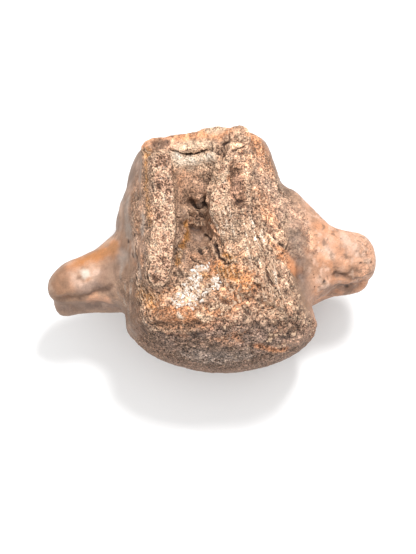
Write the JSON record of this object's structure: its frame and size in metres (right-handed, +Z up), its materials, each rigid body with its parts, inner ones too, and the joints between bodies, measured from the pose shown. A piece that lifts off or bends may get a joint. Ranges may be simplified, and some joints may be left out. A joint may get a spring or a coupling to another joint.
{
  "type": "fossil mosasaur vertebra",
  "caption": "Permineralised trunk vertebra of a marine reptile: drum-shaped centrum, cupped front, domed rear, side processes, broken neural arch with spongy bone bared.",
  "frame": {"origin": "on the floor, below the middle of the bone's outline seen from above", "axes": "+X to the animal's right and along the longest extent, across both transverse processes; +Y to the animal's head, out of the cupped front face; +Z up, to the animal's back"},
  "size_m": [0.1046, 0.0738, 0.0535],
  "materials": {
    "centrum_bone": "weathered tan and grey-brown fossil bone, ochre and white mineral stains, mostly matt",
    "cotyle_bone": "orange-tan fossil bone, cracked along the lip, satin to matt",
    "condyle_bone": "grey-brown, finely pitted joint surface, matt",
    "left_pedicle_bone": "broken spongy bone, pinkish cream struts round dark pores",
    "right_pedicle_bone": "broken spongy bone, knobbly, pinkish cream and brown",
    "left_transverse_process_bone": "smooth worn orange-brown bone, satin",
    "right_transverse_process_bone": "smooth worn pinkish tan bone with fine pits, satin"
  },
  "bodies": {
    "root": {"centrum": "centrum_bone", "cotyle": "cotyle_bone", "condyle": "condyle_bone", "left_pedicle": "left_pedicle_bone", "right_pedicle": "right_pedicle_bone", "left_transverse_process": "left_transverse_process_bone", "right_transverse_process": "right_transverse_process_bone"}
  },
  "joints": []
}
